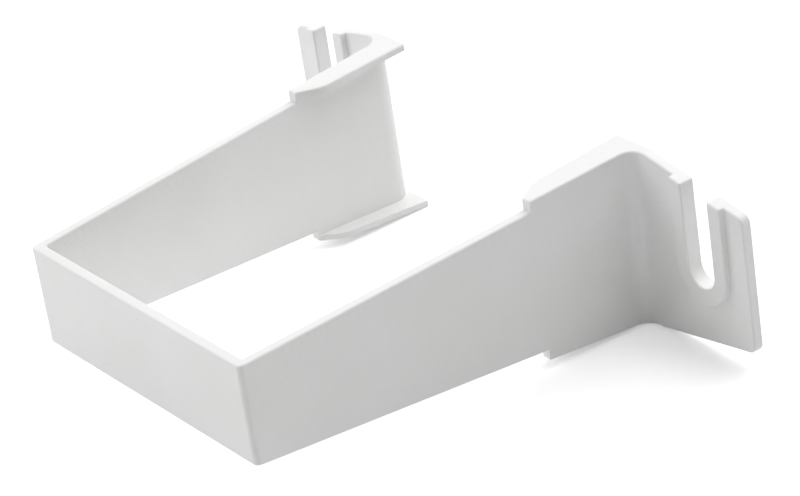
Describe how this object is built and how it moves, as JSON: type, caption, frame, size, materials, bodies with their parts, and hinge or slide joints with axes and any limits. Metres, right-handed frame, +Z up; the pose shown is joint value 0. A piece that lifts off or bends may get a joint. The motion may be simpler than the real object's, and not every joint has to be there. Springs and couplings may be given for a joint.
{
  "type": "downpipe clip",
  "caption": "Moulded plastic strap clip that wraps a square downpipe, with spreading arms, inner locating ledges and slotted ears for screwing to a wall.",
  "frame": {"origin": "on the wall, midway between the two screw slots, at the clip's mid-height", "axes": "+X from ear to ear, +Y into the wall, +Z up along the pipe"},
  "size_m": [0.1376, 0.0893, 0.0368],
  "materials": {
    "white_plastic": "satin white moulded plastic"
  },
  "bodies": {
    "root": {"downpipe_clip": "white_plastic"}
  },
  "joints": []
}
